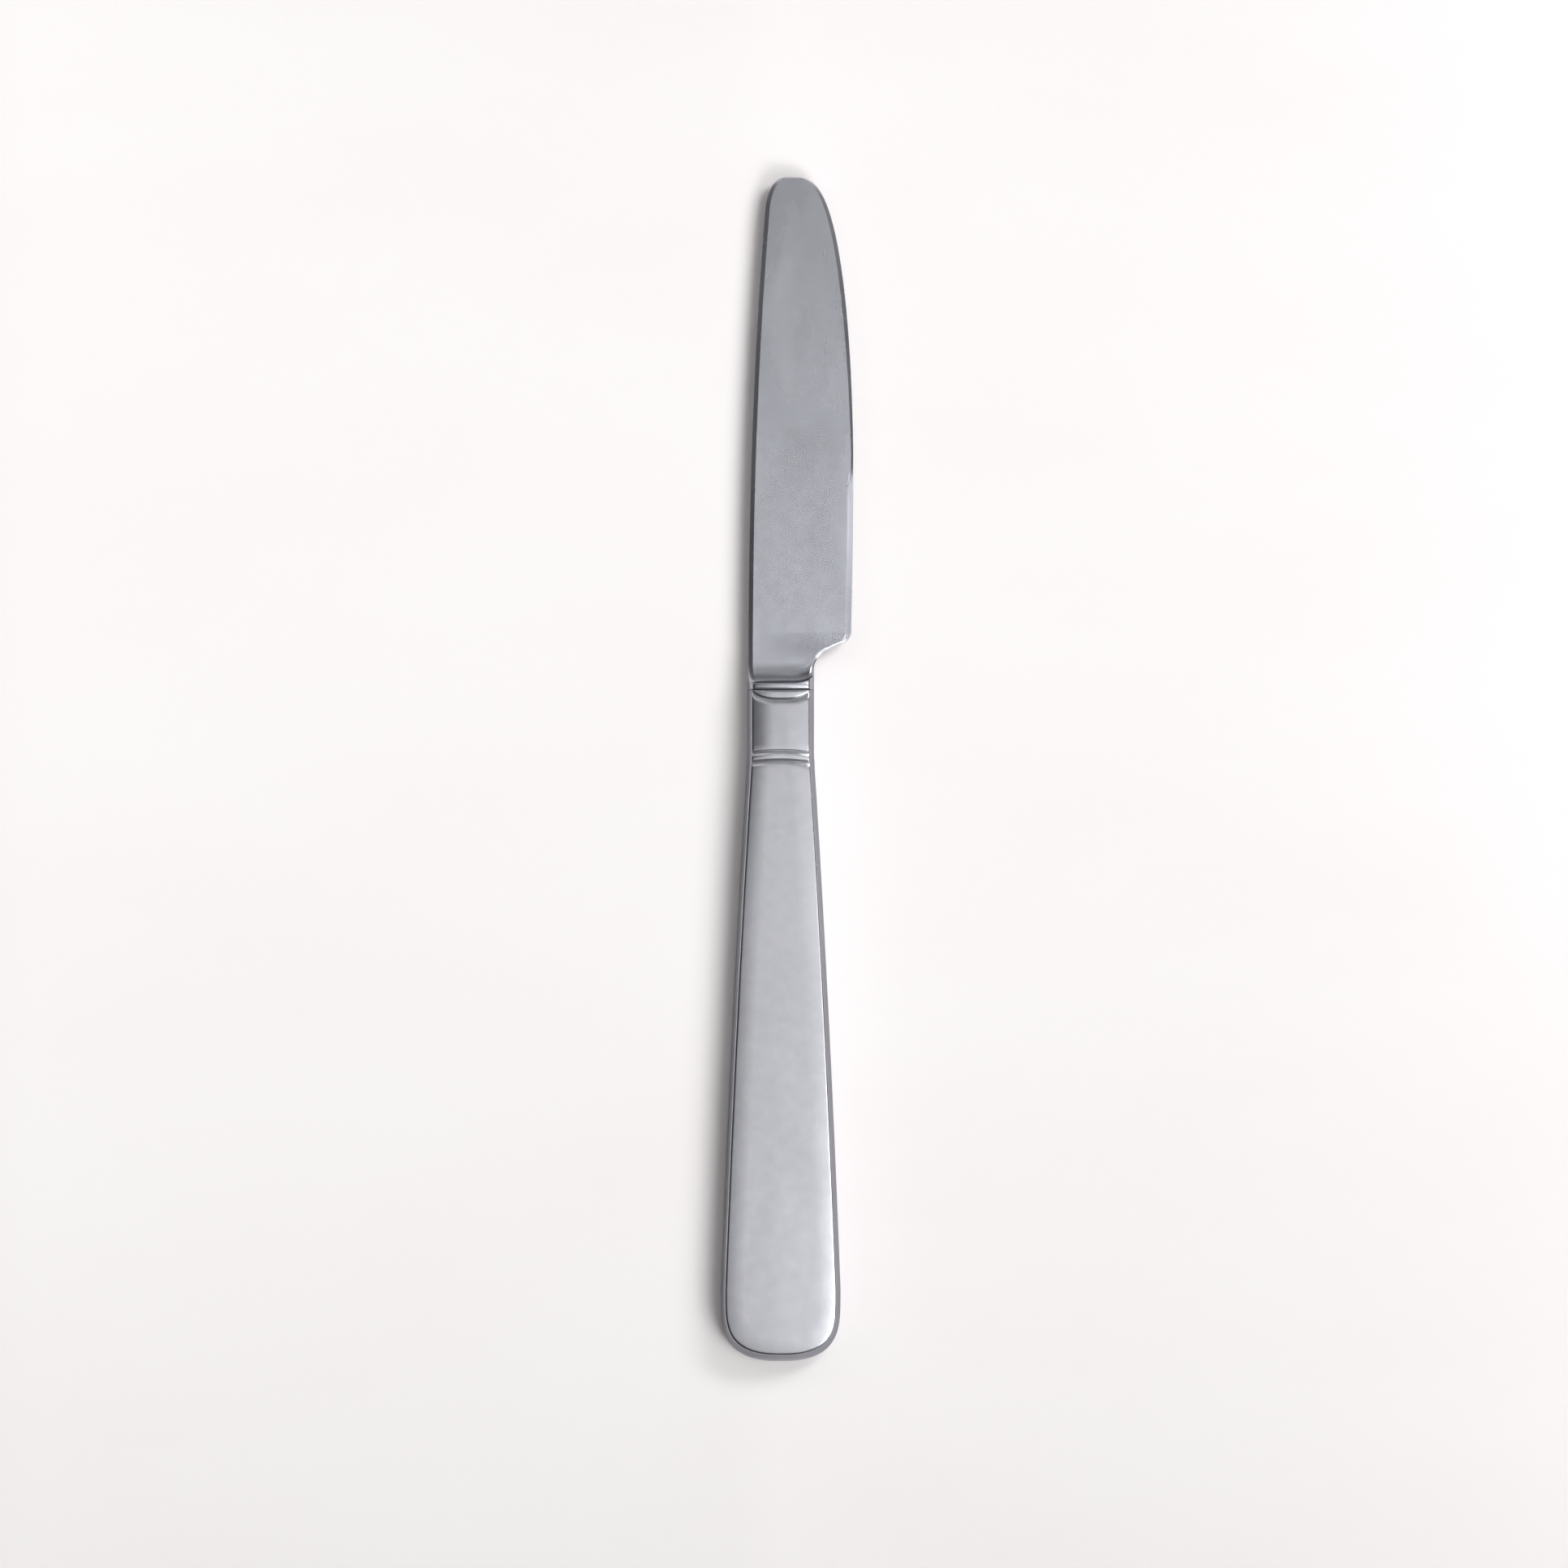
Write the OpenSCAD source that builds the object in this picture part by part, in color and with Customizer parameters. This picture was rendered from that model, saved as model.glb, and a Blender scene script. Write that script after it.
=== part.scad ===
// Hollow-handled table knife: a forged blade, bolster and tang, two pressed handle halves
// brazed along their rims, and the filling that grips the tang inside them.
// The blade's seat on the handle is at y = 0 in every function below, with the tip at +y,
// the butt at -y, the cutting edge at +x and the middle of the thickness at z = 0.

/* [Blade] */
// Length from the seat on the handle to the tip
blade_len = 101.8; // [90:0.1:115]
// How far the spine stands from the knife's axis
spine_off = 6.4; // [5.5:0.05:7.5]
// How far the belly's fullest point stands from the knife's axis
belly_off = 14.4; // [12.5:0.1:17]
// How far the tip stands from the knife's axis, towards the edge
tip_off = 1.7; // [0.5:0.1:3]
// How far the spine sweeps towards the axis by the tip
spine_sweep = 3.9; // [2:0.1:5]
// Length over which the belly curves in to the tip
belly_len = 57.8; // [45:0.1:70]
// Length over which the spine rounds over to the tip
tip_round = 6.4; // [4:0.1:9]
// Thickness at the spine, beside the bolster
spine_t = 2.6; // [2:0.1:3.2]
// Thickness at the spine, at the tip
tip_t = 1.3; // [1:0.1:1.6]
// Width of the broken edge along the spine, seen from above
spine_round = 0.85; // [0.5:0.05:1.2]
// Thickness just behind the edge bevel
shoulder_t = 0.7; // [0.5:0.05:1]
// Width of the bevel ground along the edge
bevel_w = 0.8; // [0.5:0.05:1.2]
// Width of the rounded bevel near the tip, where the blade is blunt
tip_bevel_w = 1.1; // [0.8:0.05:1.3]
// Width of the rounding at the very end of the tip
tip_edge_w = 0.5; // [0.4:0.05:0.8]
// Thickness left at the cutting edge
edge_t = 0.24; // [0.15:0.01:0.4]

/* [Heel] */
// Height of the edge's lower end above the seat
heel_y = 11.6; // [11:0.1:13]
// How far the edge draws in from the belly to the heel
heel_in = 0.45; // [0.1:0.05:0.8]
// Radius of the heel's corner
heel_corner_r = 2.4; // [1.5:0.1:3]
// Radius of the hollow between the heel and the neck
heel_hollow_r = 4.4; // [3.5:0.1:5]
// Slope of the heel's cut, in degrees from square across the blade
heel_slope = 24; // [18:1:28]
// How much the heel's cut is softened at its faces
heel_break = 0.25; // [0.1:0.01:0.35]
// Width of that softening, square to the cut
heel_break_w = 0.45; // [0.3:0.05:0.7]

/* [Bolster] */
// Width of the neck, bolster and collar
neck_w = 13.2; // [12.5:0.1:14]
// Thickness of the bolster's rim
bolster_t = 7.4; // [6.8:0.1:7.6]
// Length of the bolster's rim
rim_len = 1.3; // [1:0.05:2]
// How much longer the rim grows at the side of the cutting edge
rim_flare = 1.7; // [0.5:0.1:2]
// Length of the cove between the rim and the blade
cove_len = 4.2; // [3.2:0.1:4.6]
// Width of the rounding down the bolster's sides
bolster_round = 1.3; // [1:0.05:1.6]
// How much lower the bolster's and collar's faces fall towards their sides
collar_crown = 0.45; // [0.2:0.05:0.6]

/* [Tang] */
// Length of the tang inside the handle
tang_len = 48; // [35:1:60]
// Width of the tang at the bolster
tang_w = 7; // [5.5:0.1:8]
// Width of the tang at its end
tang_end_w = 4.6; // [3.5:0.1:5.4]
// Thickness of the tang
tang_t = 2.4; // [1.8:0.1:2.8]
// Radius of the notches that key the tang into the filling
notch_r = 0.9; // [0.5:0.05:1.2]
// Number of notches down each side of the tang
notch_count = 3; // [2:1:4]

/* [Collar] */
// Length of the collar, from the seat to the grip
collar_len = 15.2; // [14:0.1:17]
// How far the collar's panel lies below the grip's faces
panel_depth = 0.28; // [0.15:0.01:0.4]
// Depth of the grooves between the collar's beads
groove_depth = 0.5; // [0.4:0.01:0.6]
// Length of the bead beside the seat
top_bead_len = 1.95; // [1.85:0.05:2.2]
// Length of the pair of beads beside the grip
pair_bead_len = 3.5; // [3:0.1:4]
// How far the top bead's lower line bows away from the blade
top_bow = 1.8; // [1:0.05:1.8]
// How far the pair of beads bows towards the blade
pair_bow = 0.5; // [0.3:0.05:1]

/* [Handle] */
// Length of the handle from the seat to the butt
handle_len = 133.3; // [122:0.1:145]
// Greatest width of the handle, near the butt
handle_w = 23.75; // [20:0.05:27]
// Width of the grip where it leaves the collar
grip_top_w = 13.5; // [13.3:0.1:15]
// Thickness over the two flat faces
handle_t = 8; // [7.8:0.1:9]
// Length over which the butt rounds off
butt_round = 14.4; // [10:0.1:18]
// Wall of the pressed halves
wall = 0.8; // [0.6:0.05:0.9]
// Wall at the mouth, where the bolster seats
mouth_wall = 1.2; // [0.9:0.1:1.6]
// How far the side walls lean in from the seam to the rolled edge
side_lean = 0.75; // [0.5:0.05:0.9]
// How far the butt's wall leans in
butt_lean = 1.5; // [1:0.1:1.8]
// Radius of the rolled edge round the faces
roll_r = 0.55; // [0.4:0.05:0.7]
// Width of the soft crown inside the rolled edge, along the grip
crown_w = 3.4; // [2:0.1:4]
// Width of that crown on the collar
collar_crown_w = 4.2; // [3:0.1:4.8]
// Height of that crown along the grip
crown_h = 0.12; // [0.05:0.01:0.2]

/* [Fit] */
// Thickness of the brazed seam between the halves
seam_t = 0.16; // [0.1:0.01:0.25]
// Clearance round the tang in the handle's mouth
mouth_gap = 0.15; // [0.1:0.01:0.3]
// Bond line round the filling
bond_gap = 0.05; // [0.03:0.01:0.1]

/* [Hidden] */
overrun = 0.5;
slant_step = 0.01;
notch_facets = 32;
neck_half = neck_w / 2;
handle_half = handle_w / 2;
handle_half_t = handle_t / 2;
grip_mid = (collar_len + handle_len) / 2;
cove_end = rim_len + cove_len;
butt_start = handle_len - butt_round;

// Powers that shape the curves, and shares of the sizes that they bend, chosen by eye
spine_power_share = 2.3;
belly_power_share = [1.9, 0.305];
tip_power_share = [2, 0.33];
butt_power_share = [2.5, 0.26];
rim_flare_power_share = 5;
top_bow_power_share = [2, 1.6];
side_wall_power_share = 1.25;
butt_wall_power_share = 0.85;
grip_swell_share = 0.25;
neck_full_share = 0.85;
blunt_from_share = 0.75;
blunt_full_share = 0.95;

// Counts of stations along each stretch, and the turns, in degrees, of the last ones round the
// tip and the butt, which stop just short of a quarter so that the ends close on a flat
cove_steps = 8;
heel_steps = 6;
corner_steps = 5;
body_steps = 18;
tip_steps = 12;
grip_steps = 9;
butt_steps = 16;
cavity_steps = 6;
last_turn = 87;

// Values on the way from a to b, and the same held inside 0 to 1
function mix(a, b, k) = a + (b - a) * k;
function hold(k) = max(0, min(1, k));
function ease(k) = hold(k) * hold(k) * (3 - 2 * hold(k));
function backwards(list) = [for (i = [len(list) - 1:-1:0]) list[i]];
// A quarter of a superellipse: 1 at k = 0, falling to 0 at k = 1
function rounding(k, power) = pow(1 - pow(hold(k), power[0]), power[1]);

// Closed rings from the points over a piece's upper face and their mirror images below: one
// starts at the left end of the face, the other at the middle of the lower face
function under(p) = [p.x, p.y, -p.z];
function face_and_back(face) = concat(face, [for (p = backwards(face)) under(p)]);
function round_the_middle(face) =
    let (half = len(face) / 2)
    concat(
        [for (i = [half - 1:-1:0]) under(face[i])],
        face,
        [for (i = [len(face) - 1:-1:half]) under(face[i])]
    );

// Skins rings that follow each other along +y. Each end is closed by bands between the ring's
// first and last points, then its second and last but one, up to the points that lie in one line.
module skin(rings, in_line = 2) {
    n = len(rings[0]);
    far = (len(rings) - 1) * n;
    sides = [
        for (start = [0:n:far - n], i = [0:n - 1])
            let (a = start + i, b = start + (i + 1) % n)
            each [[a, a + n, b + n], [a, b + n, b]]
    ];
    band_count = (n - in_line) / 2 - 1;
    near_end = concat(
        [for (i = [0:band_count - 1]) each [[i, i + 1, n - 2 - i], [i, n - 2 - i, n - 1 - i]]],
        [[for (i = [band_count:n - 1 - band_count]) i]]
    );
    far_end = [for (face = near_end) [for (i = backwards(face)) far + i]];
    polyhedron(points = [for (ring = rings) each ring], faces = concat(sides, near_end, far_end));
}

// Blade: plan outline as a distance from the axis at each height y above the seat
function spine_x(y) =
    let (straight = spine_off - spine_sweep * pow(hold(y / blade_len), spine_power_share))
    tip_off - (tip_off + straight) * rounding(1 - (blade_len - y) / tip_round, tip_power_share);
function belly_x(y) =
    let (
        draw_in = heel_in * pow(hold((belly_y - y) / (belly_y - heel_y)), 2),
        curve = rounding(1 - (blade_len - y) / belly_len, belly_power_share)
    )
    mix(tip_off, belly_off, curve) - draw_in;

// Heel: a hollow tangent to the neck, a straight cut and a rounded corner, met where each ends
belly_y = blade_len - belly_len;
corner_x = belly_off - heel_in - heel_corner_r;
cut_end = [corner_x + heel_corner_r * sin(heel_slope), heel_y - heel_corner_r * cos(heel_slope)];
cut_start_x = neck_half + heel_hollow_r * (1 - sin(heel_slope));
cut_start = [cut_start_x, cut_end.y - (cut_end.x - cut_start_x) * tan(heel_slope)];
hollow_y = cut_start.y - heel_hollow_r * cos(heel_slope);
function edge_x(y) =
    y <= hollow_y ? neck_half
    : y <= cut_start.y ? neck_half + heel_hollow_r - sqrt(pow(heel_hollow_r, 2) - pow(y - hollow_y, 2))
    : y <= cut_end.y ? mix(cut_start.x, cut_end.x, (y - cut_start.y) / (cut_end.y - cut_start.y))
    : y <= heel_y ? corner_x + sqrt(pow(heel_corner_r, 2) - pow(heel_y - y, 2))
    : belly_x(y);

// Heights of the blade's stations above the seat, closest where its outline turns
hollow_stations = [for (i = [1:heel_steps]) hollow_y + heel_hollow_r * sin((90 - heel_slope) * i / heel_steps)];
corner_stations = [
    for (i = [0:corner_steps]) heel_y - heel_corner_r * sin((90 - heel_slope) * (1 - i / corner_steps))
];
blade_stations = concat(
    [for (k = [0, 0.15, 0.6]) rim_len * k],
    [for (i = [0:cove_steps]) rim_len + cove_len * (1 - cos(90 * i / cove_steps))],
    [for (y = concat(hollow_stations, corner_stations)) if (y > cove_end) y],
    [for (i = [1:body_steps]) mix(heel_y, blade_len - tip_round, i / body_steps)],
    [for (i = [1:tip_steps]) blade_len - tip_round * (1 - sin(last_turn * i / tip_steps))]
);

// Half thickness of the ground blade, before its spine and edge are shaped: a wedge that turns
// blunt towards the tip, and again at the neck
blunt_from = belly_y * blunt_from_share;
function blunt_share(y) = ease((y - blunt_from) / (blade_len - tip_round - blunt_from));
function blade_half(x, y) =
    let (
        spine_half = mix(spine_t, tip_t, hold(y / blade_len)) / 2,
        neck_share = neck_full_share * (1 - ease((y - cove_end) / (heel_y - cove_end))),
        keen_half = mix(shoulder_t / 2, spine_half * blunt_full_share, blunt_share(y)),
        edge_half = mix(keen_half, spine_half, neck_share),
        across = hold((x - spine_x(y)) / (belly_x(max(y, heel_y)) - spine_x(y)))
    )
    mix(spine_half, edge_half, across);

// How far a place lies down the cove: 1 on the rim, which flares at the edge's side, 0 on the blade
function cove_share(x, y) =
    let (
        flare = rim_flare * pow(hold(x / neck_half), rim_flare_power_share),
        k = hold((cove_end + flare - y) / cove_len)
    )
    1 - sqrt(1 - k * k);
rim_lip_shares = [[0, 0.06], [0.15, 0.01], [0.6, 0], [1, 0.02]];
function rim_half(x, y) =
    bolster_t / 2 * (1 - lookup(y / rim_len, rim_lip_shares)) - collar_crown * pow(x / neck_half, 2);
function body_half(x, y) = mix(blade_half(x, y), rim_half(x, y), cove_share(x, y));

// Width of the bevel along x. The softened heel runs askew, so its width grows by its slant.
function edge_w(y) =
    let (slant = (edge_x(y + slant_step) - edge_x(y - slant_step)) / (2 * slant_step))
    mix(
        heel_break_w * sqrt(1 + slant * slant),
        mix(bevel_w, tip_bevel_w, blunt_share(y)),
        ease((y - cut_end.y) / (heel_y - cut_end.y))
    );

// Points up the spine and down the edge: a share of the side's width, then shares of the half
// thickness on the blade and on the rim. The edge has one more, for the blunt edge at the tip.
spine_shares = [[0, 0.36, 0.14], [0.15, 0.48, 0.59], [0.4, 0.66, 0.83], [0.7, 0.86, 0.96], [1, 1, 1]];
face_shares = [0.15, 0.3, 0.5, 0.7, 0.85];
edge_shares = [
    [1, 1, 1, 1],
    [0.66, 0.66, 0.95, 0.94],
    [0.33, 0.33, 0.8, 0.74],
    [0.12, 0.12, 0.55, 0.47],
    [0, 0, 0.14, 0]
];

// Upper face of the blade at one station, from the spine to the edge
function blade_face(y) =
    let (
        left = spine_x(y),
        right = edge_x(y),
        left_solid = cove_share(left, y),
        right_solid = cove_share(right, y),
        blunt = blunt_share(y),
        end_share = 1 - pow(1 - hold((blade_len - y) / tip_edge_w), 2),
        left_w = min(mix(spine_round, bolster_round, left_solid), (right - left) / 3),
        right_w = min(mix(edge_w(y), bolster_round, right_solid), (right - left) / 3),
        keen_edge = max(edge_t / 2, blade_half(right, y) - heel_break),
        edge_half = mix(keen_edge, edge_t / 2, blunt)
    )
    [
        for (s = spine_shares)
            let (x = left + left_w * s[0])
            [x, y, end_share * body_half(x, y) * mix(s[1], s[2], left_solid)],
        for (k = face_shares) let (x = mix(left + left_w, right - right_w, k)) [x, y, end_share * body_half(x, y)],
        for (s = edge_shares)
            let (
                x = right - right_w * s[0],
                full = body_half(x, y),
                ground = mix(edge_half, full, mix(s[1], s[3], blunt))
            )
            [x, y, end_share * mix(ground, full * s[2], right_solid)]
    ];

// Tang, grown on every side by the bond line when it cuts its own space
module tang_body(grow) {
    reach = tang_len + grow;
    half_w = tang_w / 2 + grow;
    end_half_w = tang_end_w / 2 + grow;
    difference() {
        translate([0, 0, -tang_t / 2 - grow])
            linear_extrude(tang_t + 2 * grow)
                polygon([[-half_w, rim_len / 2], [half_w, rim_len / 2], [end_half_w, -reach], [-end_half_w, -reach]]);
        for (i = [1:notch_count], side = [-1, 1]) {
            depth = tang_len * (i + 0.5) / (notch_count + 1);
            translate([side * mix(tang_w, tang_end_w, depth / tang_len) / 2, -depth, -tang_t])
                cylinder(r = notch_r - grow, h = 2 * tang_t, $fn = notch_facets);
        }
    }
}

// Collar mouldings: shares of the length of each moulding, and depths below the grip's faces
function top_bead(k, depth) = [top_bead_len * k, depth];
function pair_bead(k, depth) = [collar_len - pair_bead_len * (1 - k), depth];
mouldings = [
    top_bead(0, groove_depth * 0.8),
    top_bead(0.1, groove_depth * 0.4),
    top_bead(0.3, panel_depth * 0.3),
    top_bead(0.52, panel_depth * 0.15),
    top_bead(0.76, panel_depth * 0.3),
    top_bead(0.9, panel_depth * 0.8),
    top_bead(1, groove_depth),
    top_bead(1.15, panel_depth * 1.3),
    top_bead(1.35, panel_depth * 1.1),
    top_bead(1.7, panel_depth),
    pair_bead(-0.2, panel_depth),
    pair_bead(-0.1, panel_depth * 1.15),
    pair_bead(0.04, groove_depth),
    pair_bead(0.11, panel_depth * 1.1),
    pair_bead(0.17, panel_depth * 0.6),
    pair_bead(0.28, panel_depth * 0.4),
    pair_bead(0.38, panel_depth * 0.4),
    pair_bead(0.45, panel_depth * 0.65),
    pair_bead(0.52, panel_depth * 1.2),
    pair_bead(0.59, groove_depth),
    pair_bead(0.65, panel_depth * 1.1),
    pair_bead(0.71, panel_depth * 0.6),
    pair_bead(0.86, panel_depth * 0.2),
    pair_bead(1, 0)
];
function moulding_depth(s) = lookup(s, mouldings);

// How far a line across the handle bows, at a share u of the half width: the top bead's lower
// line curls up at its ends, and the pair of beads follows a shallow arc
function top_bow_at(s) = lookup(s, [[0, 0], [top_bead_len, top_bow], [collar_len - pair_bead_len, 0]]);
function pair_bow_at(s) = lookup(s, [
    [top_bead_len, 0],
    [collar_len - pair_bead_len, pair_bow],
    [collar_len, pair_bow],
    [2 * collar_len, 0]
]);
function bow(s, u) = top_bow_at(s) * (1 - rounding(abs(u), top_bow_power_share)) - pair_bow_at(s) * u * u;

// Crown inside the rolled edge, which flattens and widens from the collar to the grip
function grip_share(s) = ease((s - collar_len + pair_bead_len) / pair_bead_len);
function crown_at(s) = mix(collar_crown, crown_h, grip_share(s));
function crown_w_at(s) = mix(collar_crown_w, crown_w, grip_share(s));

// Half width of the handle at the seam, at a distance s from the seat: the collar's, eased over
// the pair of beads into the grip's, which swells a little on its way to the butt
function grip_half(s) =
    let (
        k = hold((s - collar_len) / (butt_start - collar_len)),
        start = mix(neck_half, max(neck_half, grip_top_w / 2), grip_share(s))
    )
    mix(start, handle_half, k + grip_swell_share * k * (1 - k));

// Pressed shape from the seam up to the flat: a wall that leans in, a rolled edge that runs on
// from the wall into the crown, and the crown. A level is its inset from the side, its inset
// from the butt, the share of the mouldings' depth that reaches it and its height.
wall_shares = [0, 0.35, 0.7];
roll_shares = [[0, 0.2], [0.25, 0.4], [0.5, 0.65], [0.75, 0.85], [1, 1]];
crown_shares = [0.25, 0.5, 0.75, 1];
roll_start = atan(side_wall_power_share * side_lean / handle_half_t);
function pressed_levels(s) =
    let (
        crown = crown_at(s),
        width = crown_w_at(s),
        roll_end = 90 - atan(2 * crown / width),
        roll_w = roll_r * (cos(roll_start) - cos(roll_end)),
        roll_z = handle_half_t - crown - roll_r * (sin(roll_end) - sin(roll_start))
    )
    concat(
        [
            for (k = wall_shares) [
                side_lean * pow(k, side_wall_power_share),
                butt_lean * pow(k, butt_wall_power_share),
                0,
                mix(seam_t / 2, roll_z, k)
            ]
        ],
        [
            for (share = roll_shares)
                let (
                    turn = mix(roll_start, roll_end, share[0]),
                    inset = roll_r * (cos(roll_start) - cos(turn)),
                    rise = roll_r * (sin(turn) - sin(roll_start))
                )
                [side_lean + inset, butt_lean + inset, share[1], roll_z + rise]
        ],
        [
            for (k = crown_shares)
                let (inset = roll_w + width * k)
                [side_lean + inset, butt_lean + inset, 1, handle_half_t - crown * pow(1 - k, 2)]
        ]
    );

// Space inside the pressed halves, a wall's thickness in and less a gap of its own. The part
// that cuts it out of a half also reaches some way below the seam.
function cavity_levels(s, gap, below) =
    let (
        inset = wall + gap,
        top = handle_half_t - inset - (s < collar_len ? panel_depth : 0) - crown_at(s) / 2
    )
    concat(
        below > 0 ? [[inset, inset, 0, -below]] : [],
        [
            [inset, inset, 0, seam_t / 2],
            [inset + side_lean, inset + butt_lean, 0, top - roll_r],
            [inset + side_lean + roll_r, inset + butt_lean + roll_r, 0, top]
        ]
    );

// One face of the handle across a station: s runs from the seat to the butt's rounding, and
// turn, in degrees, runs round the butt. The shares add points across the flat, which only the
// outside has, and only the outside bows.
flat_shares = [0.7, 0.35];
function handle_face(s, turn, levels, shares = []) =
    let (
        u = cos(turn),
        end_share = turn == 0 ? 0 : pow(1 - pow(u, butt_power_share[0]), butt_power_share[1]),
        points = [
            for (l = levels)
                let (
                    x = (grip_half(s) - l[0]) * u,
                    y = -s - (butt_round - l[1]) * end_share,
                    z = l[3] - l[2] * moulding_depth(s)
                )
                [x, y, z]
        ],
        inner = points[len(points) - 1],
        across = concat(points, [for (k = shares) [inner.x * k, inner.y, inner.z]]),
        bow_share = len(shares) > 0 ? 1 : 0,
        bowed = [for (p = across) [p.x, p.y + bow_share * bow(s, p.x / grip_half(s)), p.z]]
    )
    concat([for (p = bowed) [-p.x, p.y, p.z]], backwards(bowed));

function butt_turns(steps) = [for (i = [1:steps]) last_turn * i / steps];
grip_stations = [for (i = [1:grip_steps]) mix(collar_len, butt_start, i / grip_steps)];
pressed_stations = concat([for (m = mouldings) m[0]], grip_stations);
pressed_faces = backwards(concat(
    [for (s = pressed_stations) handle_face(s, 0, pressed_levels(s), flat_shares)],
    [for (turn = butt_turns(butt_steps)) handle_face(butt_start, turn, pressed_levels(butt_start), flat_shares)]
));
function cavity_faces(gap, below = 0) =
    let (stations = concat([mouth_wall + gap, collar_len - pair_bead_len, collar_len], grip_stations))
    backwards(concat(
        [for (s = stations) handle_face(s, 0, cavity_levels(s, gap, below))],
        [for (turn = butt_turns(cavity_steps)) handle_face(butt_start, turn, cavity_levels(butt_start, gap, below))]
    ));
function seam_outline(faces) = concat(
    [for (face = faces) [face[0].x, face[0].y]],
    [for (face = backwards(faces)) [face[len(face) - 1].x, face[len(face) - 1].y]]
);

// Stands the knife with its back face on z = 0, below the middle of the grip
module placed() {
    translate([0, grip_mid, handle_half_t])
        children();
}

// Opening in the mouth for the tang
module tang_slot() {
    slot_w = tang_w + 2 * mouth_gap;
    slot_t = tang_t + 2 * mouth_gap;
    translate([-slot_w / 2, -mouth_wall - overrun, -slot_t / 2])
        cube([slot_w, mouth_wall + 2 * overrun, slot_t]);
}

module handle_half_shell() {
    difference() {
        skin(pressed_faces, 2 + 2 * len(flat_shares));
        skin(cavity_faces(0, overrun));
        tang_slot();
    }
}

module blade() {
    color([0.66, 0.67, 0.7])
        placed()
            union() {
                skin([for (y = blade_stations) face_and_back(blade_face(y))]);
                tang_body(0);
            }
}

module handle_front_half() {
    color([0.76, 0.77, 0.8])
        placed()
            handle_half_shell();
}

module handle_back_half() {
    color([0.74, 0.75, 0.78])
        placed()
            mirror([0, 0, 1])
                handle_half_shell();
}

module handle_seam() {
    color([0.7, 0.7, 0.7])
        placed()
            difference() {
                translate([0, 0, -seam_t / 2])
                    linear_extrude(seam_t)
                        polygon(seam_outline(pressed_faces));
                translate([0, 0, -seam_t])
                    linear_extrude(2 * seam_t)
                        polygon(seam_outline(cavity_faces(0)));
                tang_slot();
            }
}

module handle_filling() {
    color([0.62, 0.6, 0.56])
        placed()
            difference() {
                skin([for (face = cavity_faces(bond_gap)) round_the_middle(face)]);
                tang_body(bond_gap);
            }
}

blade();
handle_front_half();
handle_back_half();
handle_seam();
handle_filling();
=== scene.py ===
# %% [markdown]
# A hollow-handled table knife
#
# The knife lies flat on pale cloth and is seen straight from above. It is one forged blade with
# its bolster and tang, two pressed handle halves, the brazed seam between them and the filling
# inside. All of it is satin steel, so the shape is told by reflections alone: a facet that would
# pass unseen on paint shows on steel as a stripe. That is why every visible piece here is a fine
# surface worked out with numpy, in the same frame and from the same sizes as the solid model.

# %% The frame
import math

import bmesh
import bpy
import numpy as np
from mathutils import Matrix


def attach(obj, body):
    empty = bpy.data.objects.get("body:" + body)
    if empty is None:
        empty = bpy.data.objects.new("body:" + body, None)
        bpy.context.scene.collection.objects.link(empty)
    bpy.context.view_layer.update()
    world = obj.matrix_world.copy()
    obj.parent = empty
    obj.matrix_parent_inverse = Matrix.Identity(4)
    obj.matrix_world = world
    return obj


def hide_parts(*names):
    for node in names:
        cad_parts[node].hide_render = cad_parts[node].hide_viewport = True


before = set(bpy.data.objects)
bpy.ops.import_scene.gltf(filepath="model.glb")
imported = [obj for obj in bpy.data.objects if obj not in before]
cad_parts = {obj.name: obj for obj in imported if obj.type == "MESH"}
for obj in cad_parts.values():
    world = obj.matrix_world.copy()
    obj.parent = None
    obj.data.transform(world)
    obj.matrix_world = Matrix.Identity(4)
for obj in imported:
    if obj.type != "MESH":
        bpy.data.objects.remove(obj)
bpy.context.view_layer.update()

# %% [markdown]
# Sizes
#
# The sizes are millimetres, as on a drawing, and MM turns them into metres where a mesh is made.
# In every formula y is 0 at the blade's seat on the handle and grows towards the tip, x grows
# towards the cutting edge, and z is 0 at the middle of the thickness.

# %% Driving sizes
MM = 0.001

BLADE_LEN = 101.8
SPINE_OFF = 6.4
BELLY_OFF = 14.4
TIP_OFF = 1.7
SPINE_SWEEP = 3.9
BELLY_LEN = 57.8
TIP_ROUND = 6.4
SPINE_T = 2.6
TIP_T = 1.3
SPINE_ROUND = 0.85
SPINE_FALL = 0.62
SHOULDER_T = 0.7
BEVEL_W = 0.8
TIP_BEVEL_SLOPE = math.radians(35)
TIP_EDGE_W = 0.35
EDGE_T = 0.24

HEEL_Y = 11.6
HEEL_IN = 0.45
HEEL_CORNER_R = 2.4
HEEL_HOLLOW_R = 4.4
HEEL_SLOPE = math.radians(24)
HEEL_BREAK = 0.13
HEEL_BREAK_W = 0.45

NECK_W = 13.2
BOLSTER_T = 7.4
RIM_LEN = 1.3
RIM_FLARE = 1.7
COVE_LEN = 4.2
BOLSTER_ROUND = 1.3
RIM_CROWN = 0.45
COLLAR_CROWN = 0.22

TANG_LEN = 48
TANG_W = 7
TANG_END_W = 4.6
TANG_T = 2.4
NOTCH_R = 0.9
NOTCH_COUNT = 3

COLLAR_LEN = 15.2
PANEL_DEPTH = 0.28
TOP_BEAD_LEN = 1.95
PAIR_BEAD_LEN = 3.5
TOP_BOW = 1.8
PAIR_BOW = 0.5

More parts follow.
